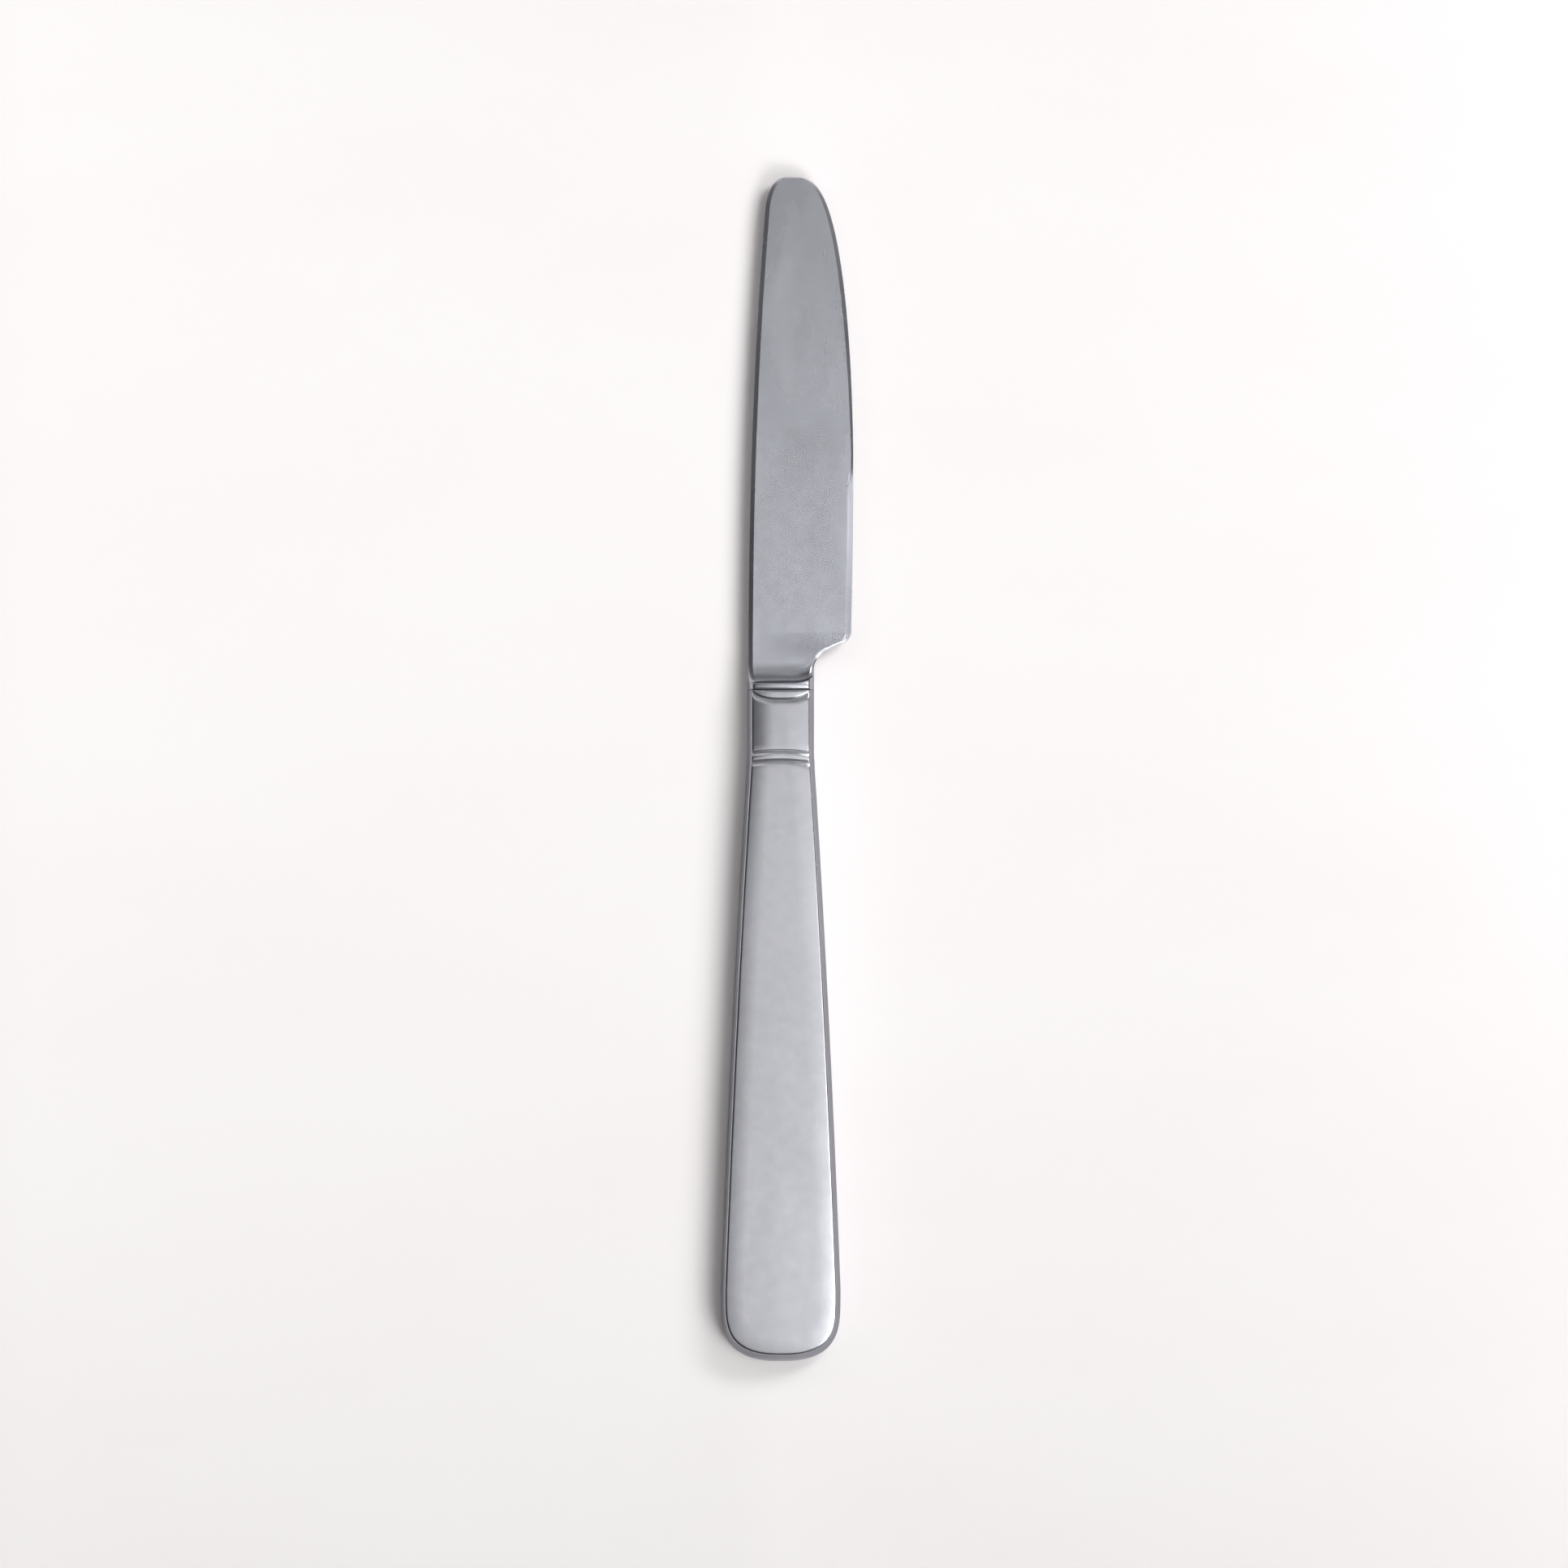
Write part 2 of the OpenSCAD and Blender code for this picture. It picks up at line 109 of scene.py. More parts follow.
HANDLE_LEN = 133.3
HANDLE_W = 23.75
GRIP_TOP_W = 13.5
HANDLE_T = 8
BUTT_ROUND = 14.4
WALL = 0.8
MOUTH_WALL = 1.2
SIDE_LEAN = 0.75
BUTT_LEAN = 1.5
ROLL_R = 0.55
CROWN_W = 3.4
COLLAR_CROWN_W = 4.2
CROWN_H = 0.12

SEAM_T = 0.16
MOUTH_GAP = 0.15

NECK_HALF = NECK_W / 2
HANDLE_HALF = HANDLE_W / 2
HALF_T = HANDLE_T / 2
COVE_END = RIM_LEN + COVE_LEN
BUTT_START = HANDLE_LEN - BUTT_ROUND
GRIP_MID = (COLLAR_LEN + HANDLE_LEN) / 2
print("length over all:", round(BLADE_LEN + HANDLE_LEN, 1), "mm")

# %% [markdown]
# The camera
#
# The photograph looks straight down. A long lens, far off, keeps the walls of the handle from
# leaning outwards in the picture, as they don't there. The frame is 1932 pixels wide, and the
# knife's length in pixels fixes how much of the floor that is.

# %% Camera
FRAME_PX = 1932
SEAT_PX = (962, 850)
MM_PER_PX = 0.1612
LENS = 105
SENSOR = 36

frame_w = FRAME_PX * MM_PER_PX
camera_data = bpy.data.cameras.new("camera")
camera_data.lens = LENS
camera_data.sensor_width = SENSOR
camera_data.clip_end = 20
camera = bpy.data.objects.new("camera", camera_data)
bpy.context.collection.objects.link(camera)
camera.location = (
    (FRAME_PX / 2 - SEAT_PX[0]) * MM_PER_PX * MM,
    (GRIP_MID - (FRAME_PX / 2 - SEAT_PX[1]) * MM_PER_PX) * MM,
    (HALF_T + frame_w * LENS / SENSOR) * MM,
)
bpy.context.scene.camera = camera
print("frame:", round(frame_w, 1), "mm wide, camera", round(camera.location.z, 3), "m up")

# %% [markdown]
# Small tools for curves
#
# Most outlines here are superellipses: a quarter of one falls from 1 to 0, round or square as its
# two powers say. Mouldings are drawn as a few points along a profile, and a smooth curve is led
# through them that never overshoots, so a flat stays flat and a bead stays a bead.

# %% Curve tools
def hold(k):
    """k kept inside 0 to 1."""
    return np.clip(k, 0, 1)


def mix(a, b, k):
    """The value a share k of the way from a to b."""
    return a + (b - a) * k


def ease(k):
    """Rises from 0 to 1 with level ends: 3k^2 - 2k^3."""
    k = hold(k)
    return k * k * (3 - 2 * k)


def rounding(k, powers):
    """A quarter of a superellipse, 1 at k = 0 and 0 at k = 1: (1 - k^a)^b."""
    return (1 - hold(k) ** powers[0]) ** powers[1]


def smooth_lookup(at, knots):
    """A smooth curve through the knots: each piece is a cubic whose end slopes are the harmonic
    mean of the two neighbouring slopes, or 0 where the curve turns."""
    x, y = np.array(knots, dtype=float).T
    step = np.diff(x)
    slope = np.diff(y) / step
    before, after = slope[:-1], slope[1:]
    same_way = before * after > 0
    total = np.where(same_way, before + after, 1)
    inner = np.where(same_way, 2 * before * after / total, 0)
    tangent = np.concatenate([slope[:1], inner, slope[-1:]])
    at = np.clip(at, x[0], x[-1])
    i = np.clip(np.searchsorted(x, at, side="right") - 1, 0, len(step) - 1)
    k = (at - x[i]) / step[i]
    rise = ease(k)
    return (
        y[i] * (1 - rise)
        + y[i + 1] * rise
        + step[i] * k * (1 - k) * ((1 - k) * tangent[i] - k * tangent[i + 1])
    )


def stretches(*parts):
    """Stations along a length: each part is (start, end, count), evenly spaced, joined up."""
    runs = [np.linspace(start, end, count, endpoint=False) for start, end, count in parts]
    return np.concatenate([*runs, [parts[-1][1]]])


# %% [markdown]
# From a grid to a mesh
#
# A surface is a grid of points: rows follow each other along the knife, and each row is a ring
# round the piece. Quads join neighbouring rows. An end is closed by joining the two halves of its
# ring like a zip, or it runs out to a line or a point, where the doubled points are merged.

# %% Mesh tools
MERGE = 0.00005
SHARP_TURN = 25


def ring_quads(rows, columns):
    """Quads between neighbouring rows of a grid, closed round each row."""
    start = np.arange(rows - 1)[:, None] * columns
    here = np.arange(columns)[None, :]
    following = (here + 1) % columns
    corners = (start + here, start + following, start + columns + following, start + columns + here)
    return np.stack(corners, axis=-1).reshape(-1, 4)


def zip_quads(row, columns):
    """Quads that close one row: its first half is joined to its second half, end to end."""
    a = np.arange(columns // 2 - 1)
    b = columns - 1 - a
    return np.stack((a, a + 1, b - 1, b), axis=-1) + row * columns


def make_piece(name, rings, closed_rows=(0,)):
    """A closed mesh from rings[row, column] = (x, y, z) in mm, measured from the blade's seat."""
    rows, columns, _ = rings.shape
    zips = [zip_quads(row, columns) for row in closed_rows]
    faces = np.concatenate([ring_quads(rows, columns), *zips])
    points = (rings.reshape(-1, 3) + (0, GRIP_MID, HALF_T)) * MM
    mesh = bpy.data.meshes.new(name)
    mesh.from_pydata(points.tolist(), [], faces.tolist())
    shape = bmesh.new()
    shape.from_mesh(mesh)
    bmesh.ops.remove_doubles(shape, verts=shape.verts, dist=MERGE * MM)
    bmesh.ops.recalc_face_normals(shape, faces=shape.faces)
    open_edges = sum(not edge.is_manifold for edge in shape.edges)
    volume = shape.calc_volume(signed=True) / MM**3
    shape.to_mesh(mesh)
    shape.free()
    mesh.shade_smooth()
    mesh.set_sharp_from_angle(angle=math.radians(SHARP_TURN))
    piece = bpy.data.objects.new(name, mesh)
    bpy.context.collection.objects.link(piece)
    print(f"{name}: {len(mesh.polygons)} faces, {open_edges} open edges, {volume:.0f} mm3")
    return piece


# %% [markdown]
# The blade's outline
#
# The spine is nearly straight and sweeps in towards the tip, where it rounds over. The belly is
# one long superellipse. At the heel the edge drops to the neck in three steps that meet without a
# kink: a rounded corner, a straight cut and a hollow.

# %% Blade outline
SPINE_POWER = 2.3
BELLY_POWERS = (1.9, 0.305)
TIP_POWERS = (2, 0.33)

BELLY_Y = BLADE_LEN - BELLY_LEN
CORNER_X = BELLY_OFF - HEEL_IN - HEEL_CORNER_R
CUT_END_X = CORNER_X + HEEL_CORNER_R * math.sin(HEEL_SLOPE)
CUT_END_Y = HEEL_Y - HEEL_CORNER_R * math.cos(HEEL_SLOPE)
CUT_START_X = NECK_HALF + HEEL_HOLLOW_R * (1 - math.sin(HEEL_SLOPE))
CUT_START_Y = CUT_END_Y - (CUT_END_X - CUT_START_X) * math.tan(HEEL_SLOPE)
HOLLOW_Y = CUT_START_Y - HEEL_HOLLOW_R * math.cos(HEEL_SLOPE)


def spine_x(y):
    """The spine's x at height y: a slow sweep, pulled in to the tip by a superellipse."""
    straight = SPINE_OFF - SPINE_SWEEP * hold(y / BLADE_LEN) ** SPINE_POWER
    return TIP_OFF - (TIP_OFF + straight) * rounding(1 - (BLADE_LEN - y) / TIP_ROUND, TIP_POWERS)


def belly_x(y):
    """The edge's x along the belly: a superellipse from the tip, drawn in a little at the heel."""
    draw_in = HEEL_IN * hold((BELLY_Y - y) / (BELLY_Y - HEEL_Y)) ** 2
    return mix(TIP_OFF, BELLY_OFF, rounding(1 - (BLADE_LEN - y) / BELLY_LEN, BELLY_POWERS)) - draw_in


def edge_x(y):
    """The edge's x at any height: neck, hollow (an arc), cut (a line), corner (an arc), belly."""
    arc_up = np.clip(y - HOLLOW_Y, 0, HEEL_HOLLOW_R)
    hollow = NECK_HALF + HEEL_HOLLOW_R - np.sqrt(HEEL_HOLLOW_R**2 - arc_up**2)
    cut = mix(CUT_START_X, CUT_END_X, (y - CUT_START_Y) / (CUT_END_Y - CUT_START_Y))
    arc_down = np.clip(HEEL_Y - y, 0, HEEL_CORNER_R)
    corner = CORNER_X + np.sqrt(HEEL_CORNER_R**2 - arc_down**2)
    below = [y <= HOLLOW_Y, y <= CUT_START_Y, y <= CUT_END_Y, y <= HEEL_Y]
    return np.select(below, [NECK_HALF, hollow, cut, corner], belly_x(y))


# %% [markdown]
# The blade's thickness
#
# The blade is a wedge, thick at the spine and thin behind the edge, where a narrow bevel is
# ground. Towards the tip it turns blunt, and its bevel grows steep. Near the handle it swells
# through a cove, a quarter of a circle, into the bolster's rim. So the half thickness is two
# surfaces mixed by one share: 0 on the blade, 1 on the rim.

# %% Blade surface
NECK_FULL = 0.85
BLUNT_FROM = 0.75 * BELLY_Y
BLUNT_FULL = 0.95
CHAMFER_SOONER = 8
SPINE_FALL_SHARE = 0.9
RIM_FLAT = 0.14
RIM_FLARE_POWER = 5
LIP_KNOTS = [(0, 0.14), (0.1, 0.07), (0.22, 0.028), (0.42, 0.01), (0.7, 0), (0.85, 0.002), (1, 0.02)]

blade_y = stretches(
    (0, RIM_LEN, 26),
    (RIM_LEN, COVE_END, 44),
    (COVE_END, HEEL_Y - HEEL_CORNER_R * 0.5, 96),
    (HEEL_Y - HEEL_CORNER_R * 0.5, HEEL_Y, 16),
    (HEEL_Y, BLADE_LEN - TIP_ROUND, 60),
)
tip_turn = np.radians(stretches((0, 60, 30), (60, 90, 30)))[1:]
blade_y = np.concatenate([blade_y, BLADE_LEN - TIP_ROUND * (1 - np.sin(tip_turn))])[:, None]

left_run = (np.linspace(0, 1, 22) ** 1.6)[None, :]
face_run = np.linspace(0, 1, 34)[None, 1:-1]
right_run = (np.linspace(0, 1, 18) ** 1.4)[None, ::-1]


def belly_share(y):
    """0 on the heel's cut, rising to 1 where the belly starts."""
    return ease((y - CUT_END_Y) / (HEEL_Y - CUT_END_Y))


def bevel_width(y):
    """The bevel's width along x: keen on the belly, steep towards the tip, and on the heel's cut
    a fine break, wider along x by sqrt(1 + (dx/dy)^2) because the cut runs askew."""
    step = MERGE * 100
    slant = (edge_x(y + step) - edge_x(y - step)) / (2 * step)
    full = wedge_half(edge_x(y), y)
    steep = (full - EDGE_T / 2) / math.tan(TIP_BEVEL_SLOPE)
    ground = mix(BEVEL_W, steep, ease(CHAMFER_SOONER * blunt_share(y)))
    return mix(HEEL_BREAK_W * np.sqrt(1 + slant**2), ground, belly_share(y))


def arc_rise(k):
    """Rises from 0 to 1 along a quarter of a circle, upright at first: sqrt(1 - (1 - k)^2)."""
    return np.sqrt(1 - (1 - hold(k)) ** 2)


def blunt_share(y):
    """0 on the keen part of the edge, rising to 1 at the tip."""
    return ease((y - BLUNT_FROM) / (BLADE_LEN - TIP_ROUND - BLUNT_FROM))


def wedge_half(x, y):
    """Half thickness of the ground wedge: from the spine's to the shoulder's across the blade."""
    spine_half = mix(SPINE_T, TIP_T, hold(y / BLADE_LEN)) / 2
    neck_share = NECK_FULL * (1 - ease((y - COVE_END) / (HEEL_Y - COVE_END)))
    keen_half = mix(SHOULDER_T / 2, spine_half * BLUNT_FULL, blunt_share(y))
    edge_half = mix(keen_half, spine_half, neck_share)
    width = np.maximum(belly_x(np.maximum(y, HEEL_Y)) - spine_x(y), MERGE)
    return mix(spine_half, edge_half, hold((x - spine_x(y)) / width))


def cove_share(x, y):
    """0 on the blade and 1 on the rim, by a quarter of a circle: 1 - sqrt(1 - k^2). The rim
    flares at the edge's side, by the fifth power of x."""
    flare = RIM_FLARE * hold(x / NECK_HALF) ** RIM_FLARE_POWER
    return 1 - np.sqrt(1 - hold((COVE_END + flare - y) / COVE_LEN) ** 2)


def body_half(x, y):
    """Half thickness of blade and bolster: the wedge mixed into the crowned rim."""
    lip = smooth_lookup(hold(y / RIM_LEN), LIP_KNOTS)
    rim = BOLSTER_T / 2 * (1 - lip) - RIM_CROWN * (x / NECK_HALF) ** 2
    return mix(wedge_half(x, y), rim, cove_share(x, y))


def blade_face(y):
    """Upper face over the heights y: sloped spine, flat, and the bevel or the rounded side."""
    left, right = spine_x(y), edge_x(y)
    left_solid, right_solid = cove_share(left, y), cove_share(right, y)
    third = (right - left) / 3
    left_w = np.minimum(mix(SPINE_ROUND, BOLSTER_ROUND, left_solid), third)
    right_w = np.minimum(mix(bevel_width(y), BOLSTER_ROUND, right_solid), third)
    end_share = hold((BLADE_LEN - y) / TIP_EDGE_W)

    x_left = left + left_w * left_run
    full = body_half(x_left, y)
    fall = np.minimum(SPINE_FALL, SPINE_FALL_SHARE * full)
    rounded = full * mix(RIM_FLAT, 1, arc_rise(left_run))
    z_left = mix(full - fall * (1 - left_run), rounded, left_solid)

    x_face = mix(left + left_w, right - right_w, face_run)
    z_face = body_half(x_face, y)

    x_right = right - right_w * right_run
    full = body_half(x_right, y)
    edge_half = mix(wedge_half(right, y) - HEEL_BREAK, EDGE_T / 2, belly_share(y))
    rounded = full * mix(RIM_FLAT, 1, arc_rise(right_run))
    z_right = mix(mix(edge_half, full, right_run), rounded, right_solid)

    x = np.concatenate([x_left, x_face, x_right], axis=1)
    z = np.concatenate([z_left, z_face, z_right], axis=1) * end_share
    return np.stack([x, np.broadcast_to(y, x.shape), z], axis=-1)


def with_mirror_image(face):
    """A ring from each row of an upper face: the face, then its mirror image below, backwards."""
    return np.concatenate([face, face[:, ::-1] * (1, 1, -1)], axis=1)


blade = make_piece("blade_steel", with_mirror_image(blade_face(blade_y)))
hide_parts("blade")
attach(blade, "root")

# %% [markdown]
# The tang
#
# Inside the handle the blade runs on as a flat tang, notched so that the filling can't let go of
# it. A notch is a bite with a circle's outline, taken out of the straight taper.

# %% Tang
TANG_EDGE = 0.2

tang_y = -stretches((-RIM_LEN / 2, 0, 3), (0, TANG_LEN, 240))[:, None]
taper = mix(TANG_W, TANG_END_W, hold(-tang_y / TANG_LEN)) / 2
notch_at = TANG_LEN * (np.arange(1, NOTCH_COUNT + 1) + 0.5) / (NOTCH_COUNT + 1)
bites = np.sqrt(np.clip(NOTCH_R**2 - (tang_y + notch_at[None, :]) ** 2, 0, None))
tang_half = taper - bites.max(axis=1, keepdims=True)
corner = np.radians(np.linspace(0, 90, 6))[None, :]
tang_x = tang_half - TANG_EDGE * (1 - np.cos(corner))
tang_z = np.broadcast_to(TANG_T / 2 - TANG_EDGE * (1 - np.sin(corner)), tang_x.shape)
right_side = np.stack([tang_x, np.broadcast_to(tang_y, tang_x.shape), tang_z], axis=-1)
tang_top = np.concatenate([right_side * (-1, 1, 1), right_side[:, ::-1]], axis=1)
tang = make_piece("blade_tang", with_mirror_image(tang_top), closed_rows=(0, len(tang_y) - 1))
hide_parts("blade")
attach(tang, "root")

# %% [markdown]
# The handle's halves
#
# Each half is pressed from sheet. Its wall leans in from the seam, rolls over and runs into a
# soft crown and then a flat. The collar next to the blade is moulded with one bead above and a
# pair below. A row of the grid is the cross-section at one distance s from the seat: the outside
# from rim to rim, then the inside back again.

# %% Handle outline and mouldings
BUTT_POWERS = (2.5, 0.26)
TOP_BOW_POWERS = (3.2, 1.5)
GRIP_SWELL = 0.25

PAIR_START = COLLAR_LEN - PAIR_BEAD_LEN
# Along the profile: a share of the bead's length, then a depth as a share of the panel's
TOP_BEAD = [(0, 2), (0.05, 1.3), (0.12, 0.55), (0.2, 0.22), (0.3, 0.12), (0.5, 0.16)]
TOP_BEAD += [(0.75, 0.32), (0.9, 0.65)]
TOP_FILLET = [(1, 1.8), (1.16, 1.45), (1.32, 1.2), (1.49, 1.05), (1.66, 1)]
PAIR = [(-0.26, 1), (-0.12, 1.05), (0.01, 1.16), (0.09, 2), (0.157, 1), (0.226, 0.72), (0.318, 0.52)]
PAIR += [(0.387, 0.47), (0.479, 0.56), (0.553, 0.72), (0.631, 1.85), (0.69, 0.85), (0.78, 0.45)]
PAIR += [(0.87, 0.2), (0.986, 0.06), (1.1, 0)]
MOULDING_KNOTS = [(TOP_BEAD_LEN * k, PANEL_DEPTH * d) for k, d in TOP_BEAD + TOP_FILLET]
MOULDING_KNOTS += [(PAIR_START + PAIR_BEAD_LEN * k, PANEL_DEPTH * d) for k, d in PAIR]


def bow(s, u):
    """How far a line across the handle bows at a share u of the half width: the top bead's lower
    line curls up at its ends, and the pair follows a shallow arc."""
    top = np.interp(s, [0, TOP_BEAD_LEN, PAIR_START], [0, TOP_BOW, 0])
    pair = np.interp(s, [TOP_BEAD_LEN, PAIR_START, COLLAR_LEN, 2 * COLLAR_LEN], [0, PAIR_BOW, PAIR_BOW, 0])
    return top * (1 - rounding(np.abs(u), TOP_BOW_POWERS)) - pair * u * u


def grip_share(s):
    """0 on the collar and 1 on the grip, eased over the pair of beads."""
    return ease((s - PAIR_START) / PAIR_BEAD_LEN)


def grip_half(s):
    """Half width at the seam: the collar's, then a slightly swelling taper to the butt."""
    k = hold((s - COLLAR_LEN) / (BUTT_START - COLLAR_LEN))
    start = mix(NECK_HALF, GRIP_TOP_W / 2, grip_share(s))
    return mix(start, HANDLE_HALF, k + GRIP_SWELL * k * (1 - k))


# %% [markdown]
# The cross-section
#
# The section is the same list of points everywhere, from the rim up to the middle: wall, roll,
# crown, flat. For each it gives the inset from the side, the inset from the butt, the height and
# how much of the mouldings' depth reaches it. The inside is the same section, a wall's thickness
# in and without mouldings, and in the mouth it is the slot for the tang.

# %% Cross-section
SIDE_WALL_POWER = 1.25
BUTT_WALL_POWER = 0.85
ROLL_START = math.atan(SIDE_WALL_POWER * SIDE_LEAN / HALF_T)

wall_run = np.linspace(0, 1, 9)[None, :-1]
roll_run = np.linspace(0, 1, 15)[None, :-1]
crown_run = np.linspace(0, 1, 13)[None, :-1]
flat_run = np.linspace(1, 0, 9)[None, :]


def section(s):
    """Outside: wall inset grows with a power of the height, the roll is an arc from the wall's
    angle to the crown's, the crown is a parabola, and the flat is level."""
    share = grip_share(s)
    crown = mix(COLLAR_CROWN, CROWN_H, share)
    width = mix(COLLAR_CROWN_W, CROWN_W, share)
    roll_end = math.pi / 2 - np.arctan(2 * crown / width)
    roll_z = HALF_T - crown - ROLL_R * (np.sin(roll_end) - math.sin(ROLL_START))
    turn = mix(ROLL_START, roll_end, roll_run)
    roll_in = ROLL_R * (math.cos(ROLL_START) - np.cos(turn))
    roll_w = ROLL_R * (math.cos(ROLL_START) - np.cos(roll_end))
    crown_in = roll_w + width * crown_run
    flat_in = roll_w + width

    side = [SIDE_LEAN * wall_run**SIDE_WALL_POWER + 0 * s, SIDE_LEAN + roll_in, SIDE_LEAN + crown_in]
    butt = [BUTT_LEAN * wall_run**BUTT_WALL_POWER + 0 * s, BUTT_LEAN + roll_in, BUTT_LEAN + crown_in]
    rise = [
        mix(SEAM_T / 2, roll_z, wall_run),
        roll_z + ROLL_R * (np.sin(turn) - math.sin(ROLL_START)),
        HALF_T - crown * (1 - crown_run) ** 2,
    ]
    depth = [wall_run + 0 * s, 1 + 0 * roll_run + 0 * s, 1 + 0 * crown_run + 0 * s]
    flat = flat_run * 0
    return (
        np.concatenate([*side, SIDE_LEAN + flat_in + flat], axis=1),
        np.concatenate([*butt, BUTT_LEAN + flat_in + flat], axis=1),
        np.concatenate([*rise, HALF_T + flat + 0 * s], axis=1),
        np.concatenate([*depth, 1 + flat + 0 * s], axis=1),
    )


def inner_section(s):
    """Inside: the same list of points a wall's thickness in, with a plain rounded corner."""
    share = grip_share(s)
    crown = mix(COLLAR_CROWN, CROWN_H, share)
    top = HALF_T - WALL - PANEL_DEPTH * (1 - share) - crown / 2
    width = mix(COLLAR_CROWN_W, CROWN_W, share)
    turn = roll_run * math.pi / 2
    roll_in = ROLL_R * (1 - np.cos(turn))
    crown_in = ROLL_R + width * crown_run
    side = [WALL + SIDE_LEAN * wall_run, WALL + SIDE_LEAN + roll_in, WALL + SIDE_LEAN + crown_in]
    butt = [WALL + BUTT_LEAN * wall_run, WALL + BUTT_LEAN + roll_in, WALL + BUTT_LEAN + crown_in]
    rise = [mix(SEAM_T / 2, top - ROLL_R, wall_run), top - ROLL_R * (1 - np.sin(turn)), top + 0 * crown_run]
    flat = flat_run * 0
    end_in = ROLL_R + width + flat
    return (
        np.concatenate([side[0] + 0 * s, side[1] + 0 * s, side[2], WALL + SIDE_LEAN + end_in], axis=1),
        np.concatenate([butt[0] + 0 * s, butt[1] + 0 * s, butt[2], WALL + BUTT_LEAN + end_in], axis=1),
        np.concatenate([*rise, top + flat], axis=1),
    )


# %% [markdown]
# Stations and assembly of a half
#
# Rows stand closest where the surface turns: a tenth of a millimetre apart on the beads, and
# round the butt they are spaced evenly along its outline. The share u narrows the section as it
# goes round the butt, and the last row, at u = 0, closes on itself.

# %% Handle halves
mould_s = stretches((0, COLLAR_LEN + 0.4, 150))
grip_s = stretches((COLLAR_LEN + 0.4, BUTT_START, 40))[1:]

fine = np.linspace(0, 1, 4000)
outline_u = np.concatenate([(1 - fine[:-1] ** (1 / BUTT_POWERS[1])) ** (1 / BUTT_POWERS[0]), [0]])
outline_y = rounding(outline_u, BUTT_POWERS)
lengths = np.hypot(np.diff(outline_u) * HANDLE_HALF, np.diff(outline_y) * BUTT_ROUND)
along = np.concatenate([[0], np.cumsum(lengths)])
butt_u = np.interp(np.linspace(0, along[-1], 90), along, outline_u)[1:]

station_s = np.concatenate([mould_s, grip_s, np.full(len(butt_u), BUTT_START)])[:, None]
station_u = np.concatenate([np.ones(len(mould_s) + len(grip_s)), butt_u])[:, None]


def across(s, u, side_in, butt_in, rise, bow_share=1):
    """Points of a section on both sides of the axis, from the left rim to the right rim. Only
    the outside bows."""
    flat_from = side_in.shape[1] - flat_run.shape[1]
    reach = grip_half(s) - side_in
    reach[:, flat_from:] *= flat_run
    share = reach / grip_half(s)
    y = -s - (BUTT_ROUND - butt_in) * rounding(u, BUTT_POWERS) + bow_share * bow(s, share * u)
    right = np.stack([reach * u, y, rise], axis=-1)
    return np.concatenate([right * (-1, 1, 1), right[:, -2::-1]], axis=1)


def slot_points(s, count):
    """The tang's slot in the mouth: up its side, then level across, in count points."""
    half_w = TANG_W / 2 + MOUTH_GAP
    half_t = TANG_T / 2 + MOUTH_GAP
    climb = wall_run.shape[1]
    x = np.concatenate([np.full(climb, half_w), np.linspace(half_w, 0, count - climb)])
    z = np.concatenate([mix(SEAM_T / 2, half_t, wall_run[0]), np.full(count - climb, half_t)])
    right = np.stack(np.broadcast_arrays(x[None, :], -s, z[None, :]), axis=-1)
    return np.concatenate([right * (-1, 1, 1), right[:, -2::-1]], axis=1)


def half_shell():
    """Rows of a closed shell: outside and inside together, the mouth's wall included."""
    side_in, butt_in, rise, depth = section(station_s)
    moulded = rise - depth * smooth_lookup(station_s, MOULDING_KNOTS)
    outside = across(station_s, station_u, side_in, butt_in, moulded)
    inside = across(station_s, station_u, *inner_section(station_s), bow_share=0)
    mouth_rows = int(np.searchsorted(mould_s, MOUTH_WALL))
    slot = slot_points(station_s[: mouth_rows + 1], side_in.shape[1])
    inner_rows = np.concatenate([slot, inside[mouth_rows:]])
    outer_rows = np.concatenate([outside[: mouth_rows + 1], outside[mouth_rows:]])
    return np.concatenate([outer_rows, inner_rows[:, ::-1]], axis=1)


shell = half_shell()
front_half = make_piece("front_half_steel", shell)
back_half = make_piece("back_half_steel", shell * (1, 1, -1))
for half, solid in ((front_half, "handle_front_half"), (back_half, "handle_back_half")):
    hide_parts(solid)
    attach(half, "root")

# %% [markdown]
# The brazed seam
#
# Between the rims of the halves lies a ribbon of braze, ground flush. It shows as a hairline
# along the handle's sides. It is carried round as one U, a hair's breadth back from the steel.

# %% Seam
SEAM_RECESS = 0.015

section_in = across(station_s, station_u, *section(station_s)[:3])
hollow_in = across(station_s, station_u, *inner_section(station_s), bow_share=0)
left_out, left_in = section_in[:, 0, :2], hollow_in[:, 0, :2]
in_mouth = mould_s < MOUTH_WALL
left_in[: in_mouth.sum(), 0] = -(TANG_W / 2 + MOUTH_GAP)
right_out, right_in = left_out[::-1] * (-1, 1), left_in[::-1] * (-1, 1)
out_line = np.concatenate([left_out, right_out[1:]])
in_line = np.concatenate([left_in, right_in[1:]])
inwards = in_line - out_line
out_line = out_line + inwards / np.linalg.norm(inwards, axis=1, keepdims=True) * SEAM_RECESS
corners = [(out_line, SEAM_T / 2), (in_line, SEAM_T / 2), (in_line, -SEAM_T / 2), (out_line, -SEAM_T / 2)]
ribbon = np.stack([np.column_stack([line, np.full(len(line), z)]) for line, z in corners], axis=1)
seam = make_piece("seam_braze", ribbon, closed_rows=(0, len(ribbon) - 1))
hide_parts("handle_seam")
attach(seam, "root")

